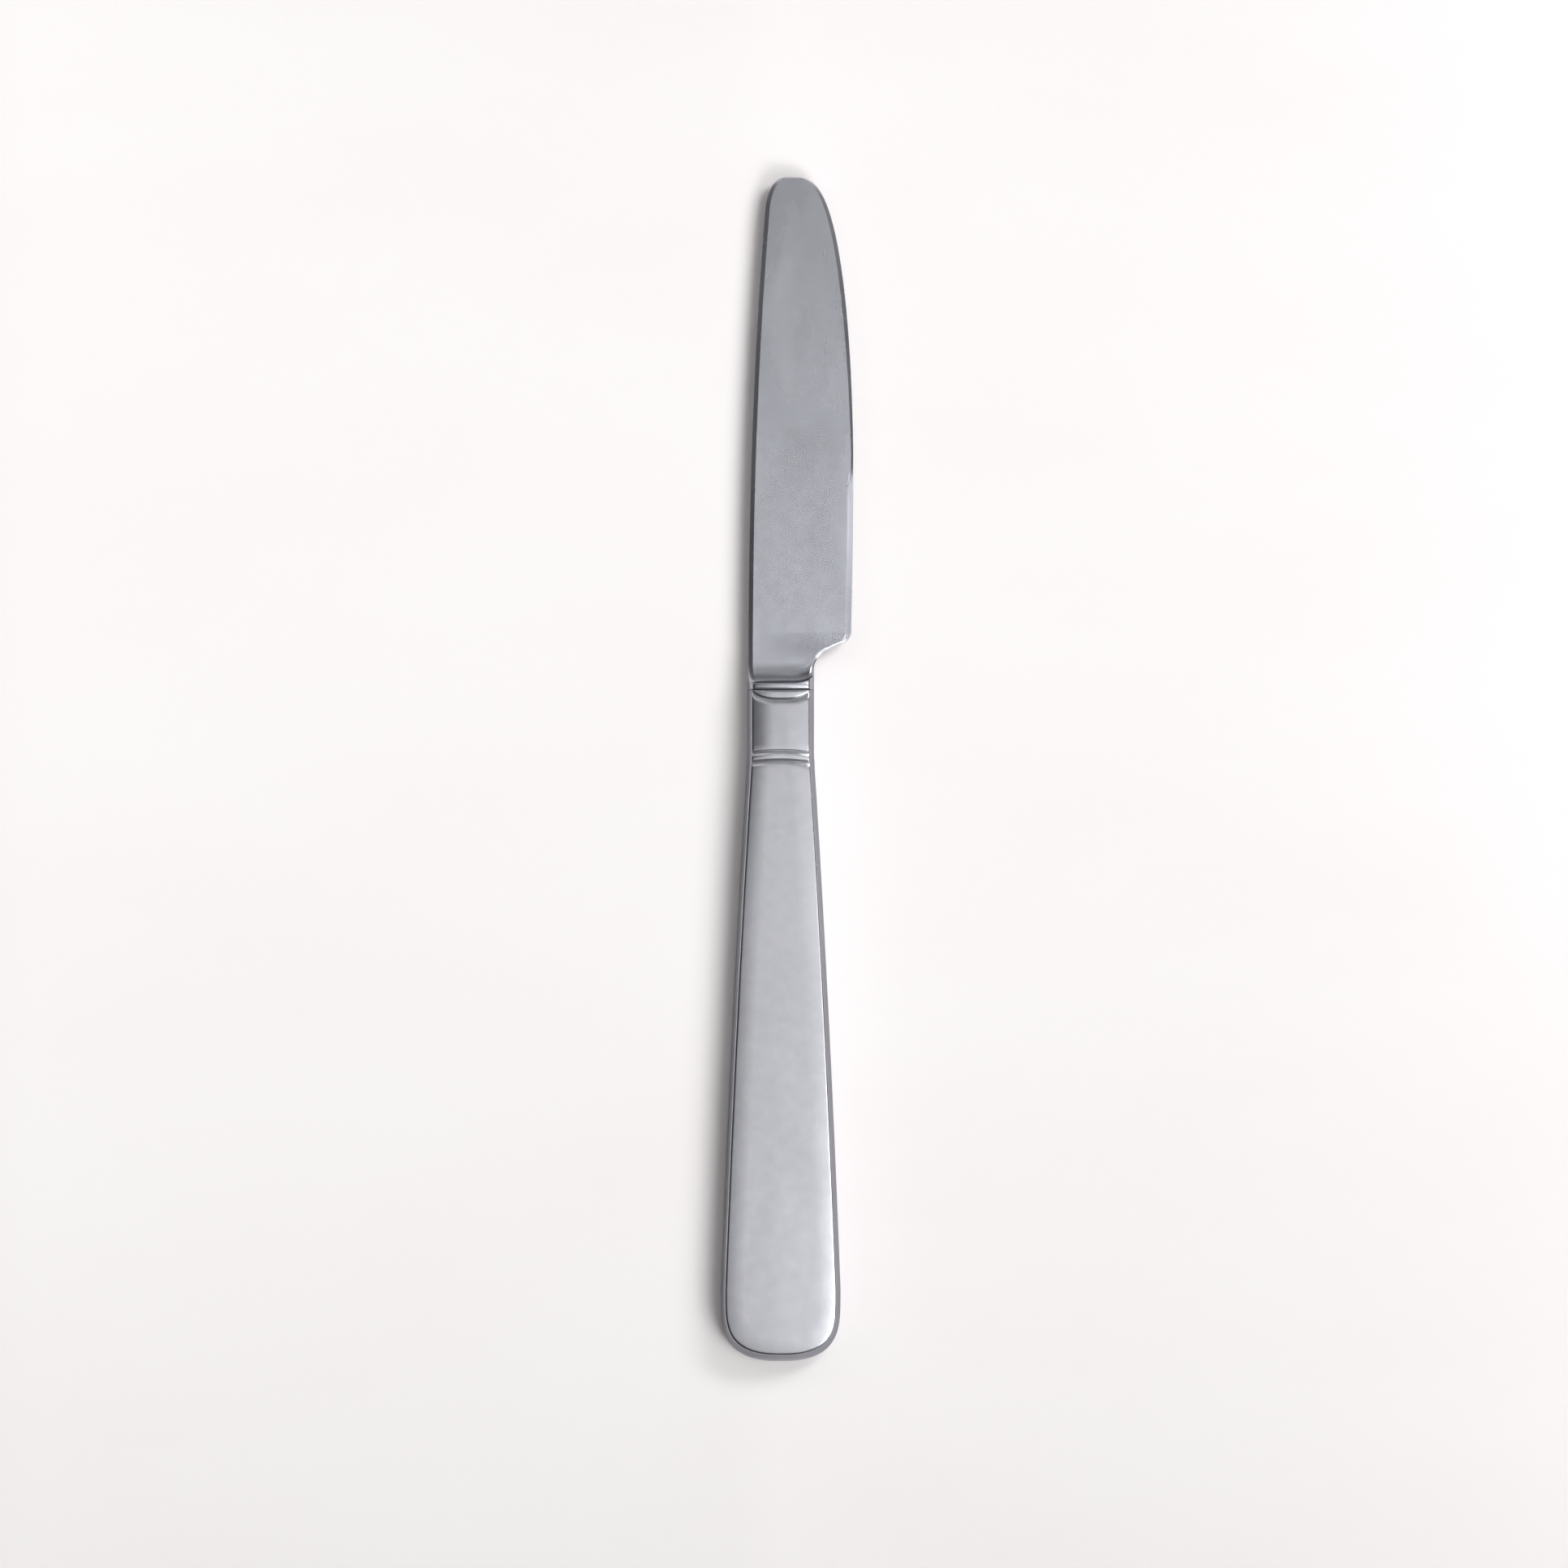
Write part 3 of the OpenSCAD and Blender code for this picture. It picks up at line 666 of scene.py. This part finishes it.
# %% [markdown]
# Satin steel
#
# Cutlery steel is neither a mirror nor dull. Under the polish lies a very fine grain, and use
# adds faint clouds, the curved edges of dried water drops and a few hairline scratches. One node
# group works all of these out from the piece's own coordinates, and each material sets their
# strength. Metal has no colour of its own beyond the tint of what it reflects, so the marks change
# the roughness and the tint only a little.

# %% Steel node group
def new_group(name, inputs, outputs):
    """A node group with named inputs (name, kind, value) and outputs (name, kind)."""
    group = bpy.data.node_groups.new(name, "ShaderNodeTree")
    for label, kind, value in inputs:
        socket = group.interface.new_socket(label, in_out="INPUT", socket_type=kind)
        socket.default_value = value
    for label, kind in outputs:
        group.interface.new_socket(label, in_out="OUTPUT", socket_type=kind)
    return group, group.nodes.new("NodeGroupInput"), group.nodes.new("NodeGroupOutput")


def node(tree, kind, links=None, **settings):
    """A node with its settings and sockets set: a value that is a socket is linked."""
    made = tree.nodes.new(kind)
    for key, value in settings.items():
        setattr(made, key, value)
    for key, value in (links or {}).items():
        if isinstance(value, bpy.types.NodeSocket):
            tree.links.new(value, made.inputs[key])
        else:
            made.inputs[key].default_value = value
    return made


def calc(tree, operation, *values, clamp=False):
    """A Math node's result."""
    links = dict(enumerate(values))
    return node(tree, "ShaderNodeMath", links, operation=operation, use_clamp=clamp).outputs[0]


def band(tree, value, low, high):
    """0 below low, rising smoothly to 1 at high."""
    links = {"Value": value, "From Min": low, "From Max": high}
    return node(tree, "ShaderNodeMapRange", links, interpolation_type="SMOOTHSTEP").outputs[0]


def steel_group():
    """Satin steel's colour, roughness and fine relief, from object coordinates in metres."""
    inputs = [
        ("Tint", "NodeSocketColor", (0.7, 0.7, 0.7, 1)),
        ("Roughness", "NodeSocketFloat", 0.25),
        ("Clouds", "NodeSocketFloat", 0.05),
        ("Water Marks", "NodeSocketFloat", 0.05),
        ("Scratches", "NodeSocketFloat", 0.1),
    ]
    outputs = [("Color", "NodeSocketColor"), ("Roughness", "NodeSocketFloat"), ("Height", "NodeSocketFloat")]
    tree, given, result = new_group("satin_steel", inputs, outputs)
    place = node(tree, "ShaderNodeTexCoord").outputs["Object"]

    def noise(scale, detail, stretch=(1, 1, 1), turn=0.0, warp=0.0):
        """Noise at a scale in features a metre, stretched and turned about the face."""
        at = {"Vector": place, "Scale": stretch, "Rotation": (0, 0, turn)}
        mapped = node(tree, "ShaderNodeMapping", at).outputs[0]
        links = {"Vector": mapped, "Scale": scale, "Detail": detail, "Distortion": warp}
        return node(tree, "ShaderNodeTexNoise", links).outputs["Fac"]

    clouds = calc(tree, "SUBTRACT", noise(70, 3, (1, 0.45, 1), warp=0.6), 0.5)
    mottle = calc(tree, "SUBTRACT", noise(420, 4), 0.5)
    grain = calc(tree, "SUBTRACT", noise(2600, 2, (1, 0.12, 1)), 0.5)

    contour = calc(tree, "ABSOLUTE", calc(tree, "SUBTRACT", noise(95, 1, (1, 0.6, 1), warp=0.3), 0.52))
    line = calc(tree, "SUBTRACT", 1.0, band(tree, contour, 0.0, 0.006))
    patches = band(tree, noise(40, 0), 0.5, 0.62)
    marks = calc(tree, "MULTIPLY", line, patches)

    scratches = None
    for turn, seed_scale in ((0.35, 900), (-0.5, 1100), (1.25, 1000)):
        hair = calc(tree, "ABSOLUTE", calc(tree, "SUBTRACT", noise(seed_scale, 0, (1, 0.02, 1), turn), 0.5))
        thin = calc(tree, "SUBTRACT", 1.0, band(tree, hair, 0.0, 0.004))
        sparse = calc(tree, "MULTIPLY", thin, band(tree, noise(60, 1, turn=turn), 0.56, 0.66))
        scratches = sparse if scratches is None else calc(tree, "MAXIMUM", scratches, sparse)

    cloudy = calc(tree, "MULTIPLY_ADD", mottle, 0.6, clouds)
    shade = calc(tree, "MULTIPLY", cloudy, given.outputs["Clouds"])
    shade = calc(tree, "ADD", shade, calc(tree, "MULTIPLY", marks, given.outputs["Water Marks"]))
    bright = calc(tree, "ADD", 1.0, shade)
    tinted = node(tree, "ShaderNodeVectorMath", {0: given.outputs["Tint"], 1: bright}, operation="MULTIPLY")
    rough = calc(tree, "ADD", given.outputs["Roughness"], calc(tree, "MULTIPLY", clouds, 0.12))
    rough = calc(tree, "ADD", rough, calc(tree, "MULTIPLY", marks, given.outputs["Water Marks"]))
    scored = calc(tree, "MULTIPLY", scratches, given.outputs["Scratches"])
    relief = calc(tree, "SUBTRACT", calc(tree, "MULTIPLY", grain, 0.5), scored)
    tree.links.new(tinted.outputs[0], result.inputs["Color"])
    tree.links.new(rough, result.inputs["Roughness"])
    tree.links.new(relief, result.inputs["Height"])
    return tree


STEEL = steel_group()
GRAZING = (0.45, 0.455, 0.475, 1)


def steel_material(name, tint, roughness, clouds, water_marks, scratches, relief_mm):
    """A metal with the satin steel group's looks; relief_mm is the height of its fine relief."""
    material = bpy.data.materials.new(name)
    material.use_nodes = True
    tree = material.node_tree
    surface = tree.nodes["Principled BSDF"]
    surface.inputs["Metallic"].default_value = 1
    surface.inputs["Specular Tint"].default_value = GRAZING
    looks = node(tree, "ShaderNodeGroup", node_tree=STEEL)
    values = (("Tint", (*tint, 1)), ("Roughness", roughness), ("Clouds", clouds))
    for label, value in (*values, ("Water Marks", water_marks), ("Scratches", scratches)):
        looks.inputs[label].default_value = value
    relief = {"Height": looks.outputs["Height"], "Distance": relief_mm * MM, "Strength": 1.0}
    bump = node(tree, "ShaderNodeBump", relief)
    tree.links.new(looks.outputs["Color"], surface.inputs["Base Color"])
    tree.links.new(looks.outputs["Roughness"], surface.inputs["Roughness"])
    tree.links.new(bump.outputs["Normal"], surface.inputs["Normal"])
    return material


# %% Steel materials
blade_steel = steel_material("blade_steel", (0.47, 0.478, 0.522), 0.27, 0.24, 0.015, 0.06, 0.0003)
handle_steel = steel_material("handle_steel", (0.48, 0.484, 0.516), 0.24, 0.27, 0.035, 0.2, 0.0005)
braze = steel_material("braze", (0.45, 0.44, 0.42), 0.4, 0.1, 0.0, 0.0, 0.001)
for piece, material in (
    (blade, blade_steel),
    (tang, blade_steel),
    (front_half, handle_steel),
    (back_half, handle_steel),
    (seam, braze),
):
    piece.data.materials.append(material)

# %% [markdown]
# The filling
#
# The cement that holds the tang never shows, but the part may be taken apart, so it has its own
# look: pale grey-brown, with coarse sand in it and small holes. Its solid is right as it is.

# %% Filling material
cement = bpy.data.materials.new("cement")
cement.use_nodes = True
tree = cement.node_tree
place = node(tree, "ShaderNodeTexCoord").outputs["Object"]
sand = node(tree, "ShaderNodeTexNoise", {"Vector": place, "Scale": 900, "Detail": 5}).outputs["Fac"]
holes = node(tree, "ShaderNodeTexVoronoi", {"Vector": place, "Scale": 450}).outputs["Distance"]
pits = band(tree, holes, 0.05, 0.2)
colour = node(tree, "ShaderNodeMix", {"Factor": sand}, data_type="RGBA")
colour.inputs["A"].default_value = (0.36, 0.34, 0.3, 1)
colour.inputs["B"].default_value = (0.62, 0.6, 0.55, 1)
bump = node(tree, "ShaderNodeBump", {"Height": calc(tree, "ADD", sand, pits), "Distance": 0.1 * MM})
surface = tree.nodes["Principled BSDF"]
surface.inputs["Roughness"].default_value = 0.9
tree.links.new(colour.outputs["Result"], surface.inputs["Base Color"])
tree.links.new(bump.outputs["Normal"], surface.inputs["Normal"])
filling_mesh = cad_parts["handle_filling"].data
filling_mesh.materials.clear()
filling_mesh.materials.append(cement)

# %% [markdown]
# The cloth
#
# The knife lies on a plain white cloth, a little warm, with folds so soft that they only shade
# it. A wide flat floor does for it: the folds' shade is painted into its colour, not shaped. In the
# photograph the cloth is evenly pale and dims a little towards the butt, while the knife is lit
# from the right. So shade is painted into the cloth's colour, darker towards the butt and to the
# right, where the lamps are stronger; to the left, and far off, a painted glow brightens it a
# little. Only the camera and clear reflections see the glow: by Light Path, it sheds no light on
# the knife.

# %% Floor
FLOOR_HALF = 12
CLOTH = (0.985, 0.955, 0.955)
CLOTH_FOLD_SHADE = (0.99, 0.98, 0.98)
DIM_DOWN = 0.04
DIM_DOWN_CURVE = 0.04
DIM_DOWN_REACH = 0.16
DIM_RIGHT = 0.2
DIM_RIGHT_REACH = 0.15
GLOW = 0.28
GLOW_FROM, GLOW_TO = 0.01, 0.15
FAR_FROM, FAR_TO = 0.25, 1.5

floor_mesh = bpy.data.meshes.new("cloth")
square = [(x * FLOOR_HALF, y * FLOOR_HALF, 0) for x, y in ((-1, -1), (1, -1), (1, 1), (-1, 1))]
floor_mesh.from_pydata(square, [], [(0, 1, 2, 3)])
floor = bpy.data.objects.new("cloth", floor_mesh)
bpy.context.collection.objects.link(floor)

cloth = bpy.data.materials.new("cloth")
cloth.use_nodes = True
tree = cloth.node_tree
place = node(tree, "ShaderNodeTexCoord").outputs["Object"]
# Painted shade: soft folds, a stretched noise that darkens the cloth's colour a little in patches.
stretched = node(tree, "ShaderNodeMapping", {"Vector": place, "Scale": (1, 2.5, 1)}).outputs[0]
fold_shade_noise = node(tree, "ShaderNodeTexNoise", {"Vector": stretched, "Scale": 9, "Detail": 3}).outputs["Fac"]
cloth_with_fold_shade = node(tree, "ShaderNodeMix", {"Factor": band(tree, fold_shade_noise, 0.3, 0.75)}, data_type="RGBA")
cloth_with_fold_shade.inputs["A"].default_value = (*CLOTH, 1)
cloth_with_fold_shade.inputs["B"].default_value = (*(a * b for a, b in zip(CLOTH, CLOTH_FOLD_SHADE)), 1)


def ramp(value, low, high):
    """0 up to low, rising straight to 1 at high."""
    return node(tree, "ShaderNodeMapRange", {"Value": value, "From Min": low, "From Max": high}).outputs[0]


# Painted shade: the cloth's colour darkens towards the butt, by DIM_DOWN, and to the right, by DIM_RIGHT, to
# even out the lamps.
axes = node(tree, "ShaderNodeSeparateXYZ", {"Vector": place})
middle_y = camera.location.y
down = ramp(axes.outputs["Y"], middle_y + DIM_DOWN_REACH, middle_y - DIM_DOWN_REACH)
down = calc(tree, "MULTIPLY_ADD", down, 2, -1)
painted_shade_down = calc(tree, "MULTIPLY", down, calc(tree, "MULTIPLY_ADD", down, DIM_DOWN_CURVE, DIM_DOWN))
from_right = calc(tree, "SUBTRACT", 1, ramp(axes.outputs["X"], 0, DIM_RIGHT_REACH))
from_right = calc(tree, "MULTIPLY", from_right, from_right)
painted_shade_right = calc(tree, "MULTIPLY_ADD", from_right, DIM_RIGHT, 1 - DIM_RIGHT)
painted_shade = calc(tree, "MULTIPLY", calc(tree, "SUBTRACT", 1, painted_shade_down), painted_shade_right)
tinted = {0: cloth_with_fold_shade.outputs["Result"], 1: painted_shade}
tinted = node(tree, "ShaderNodeVectorMath", tinted, operation="MULTIPLY")
# Painted light: the cloth glows by GLOW to the left and far off, seen only by the camera and in reflections.
away = node(tree, "ShaderNodeVectorMath", {0: place}, operation="LENGTH").outputs["Value"]
left = ramp(axes.outputs["X"], -GLOW_FROM, -GLOW_TO)
glow = calc(tree, "MULTIPLY", calc(tree, "MAXIMUM", left, band(tree, away, FAR_FROM, FAR_TO)), GLOW)
path = node(tree, "ShaderNodeLightPath").outputs
direct = calc(tree, "ADD", path["Is Camera Ray"], path["Is Glossy Ray"])
direct = calc(tree, "ADD", direct, path["Is Transmission Ray"], clamp=True)
glow = calc(tree, "MULTIPLY", glow, direct)
glowing = {0: cloth_with_fold_shade.outputs["Result"], 1: glow}
glowing = node(tree, "ShaderNodeVectorMath", glowing, operation="MULTIPLY")
surface = tree.nodes["Principled BSDF"]
surface.inputs["Roughness"].default_value = 1
surface.inputs["Specular IOR Level"].default_value = 0
surface.inputs["Emission Strength"].default_value = 1
tree.links.new(tinted.outputs[0], surface.inputs["Base Color"])
tree.links.new(glowing.outputs[0], surface.inputs["Emission Color"])
floor_mesh.materials.append(cloth)

# %% [markdown]
# The light
#
# Steel shows the room. In the photograph it is bright to the right and towards the butt and dark
# to the left, with soft edges, and the knife's shadow falls to the left. So the room is a low
# ceiling of flat lamps: wide dim ones straight above give the broad flats their even grey, and
# small bright ones off to the right draw the bright lines and throw the shadow. Lamps this near
# also let the tone drift along the knife as it does in the picture. The camera looks through them.
#
# The list is a fit: the knife was rendered under each patch of the ceiling alone, and the
# strengths are those whose sum came nearest to the picture. So it is a light that gives this
# picture, and not a record of the room. Each lamp hangs 1 mm above the one before, because lamps
# in one plane that overlap hide each other in reflections.

# %% Ceiling lamps
CEILING = 450
LAMPS = [
    # left, right, near and far edge in mm, brightness
    (-37, 38, -190, 185, 1.11),
    (38, 188, -190, 110, 1.19),
    (-112, -37, -190, 35, 0.565),
    (-112, -37, 185, 260, 2.15),
    (-312, 38, 260, 460, 0.407),
    (-512, -312, 260, 460, 3.16),
    (38, 188, 460, 660, 1.24),
    (113, 188, 185, 260, 9.94),
    (188, 588, 260, 460, 10.7),
    (388, 588, 35, 260, 1.02),
    (188, 388, -390, 35, 4.18),
    (188, 588, -390, -190, 3.84),
    (113, 188, -190, -115, 18.1),
]

for number, (left, right, near, far, brightness) in enumerate(LAMPS):
    data = bpy.data.lights.new(f"ceiling_lamp_{number}", "AREA")
    data.shape = "RECTANGLE"
    data.size, data.size_y = (right - left) * MM, (far - near) * MM
    data.energy = math.pi * data.size * data.size_y * brightness
    lamp = bpy.data.objects.new(data.name, data)
    lamp.location = ((left + right) / 2 * MM, (near + far) / 2 * MM, (CEILING + number) * MM)
    lamp.visible_camera = False
    bpy.context.collection.objects.link(lamp)

# %% [markdown]
# The rest of the room
#
# Below the lamps the room is dim, and paler towards the horizon, where the steepest edges of the
# steel look. The world is that: a base light, a horizon that fades with the height z of the
# direction, and a pale patch of wall past the tip, exp(k (d.c - 1)) in the direction d, where c is
# its middle and k its tightness.

# %% World light
BASE_LIGHT = 0.034
HORIZON_LIGHT = 0.32
HORIZON_TOP = 0.45
WALL_LIGHT = 0.25
WALL_TIGHTNESS = 12
WALL_HEIGHT = math.radians(18)

world = bpy.data.worlds.new("studio")
world.use_nodes = True
bpy.context.scene.world = world
tree = world.node_tree
direction = node(tree, "ShaderNodeTexCoord").outputs["Generated"]
height = node(tree, "ShaderNodeSeparateXYZ", {"Vector": direction}).outputs["Z"]
fade = {"Value": height, "From Max": HORIZON_TOP, "To Min": BASE_LIGHT + HORIZON_LIGHT, "To Max": BASE_LIGHT}
horizon = node(tree, "ShaderNodeMapRange", fade, interpolation_type="SMOOTHSTEP").outputs[0]

wall = (0, math.cos(WALL_HEIGHT), math.sin(WALL_HEIGHT))
facing = node(tree, "ShaderNodeVectorMath", {0: direction, 1: wall}, operation="DOT_PRODUCT")
power = calc(tree, "MULTIPLY", calc(tree, "SUBTRACT", facing.outputs["Value"], 1), WALL_TIGHTNESS)
light = calc(tree, "MULTIPLY_ADD", calc(tree, "EXPONENT", power), WALL_LIGHT, horizon)
tree.links.new(light, tree.nodes["Background"].inputs["Strength"])
tree.nodes["Background"].inputs["Color"].default_value = (1, 1, 1, 1)

# %% [markdown]
# Closing
#
# The view transform is Standard, so a colour renders as it is written.

# %% Finish
bpy.context.scene.view_settings.view_transform = "Standard"
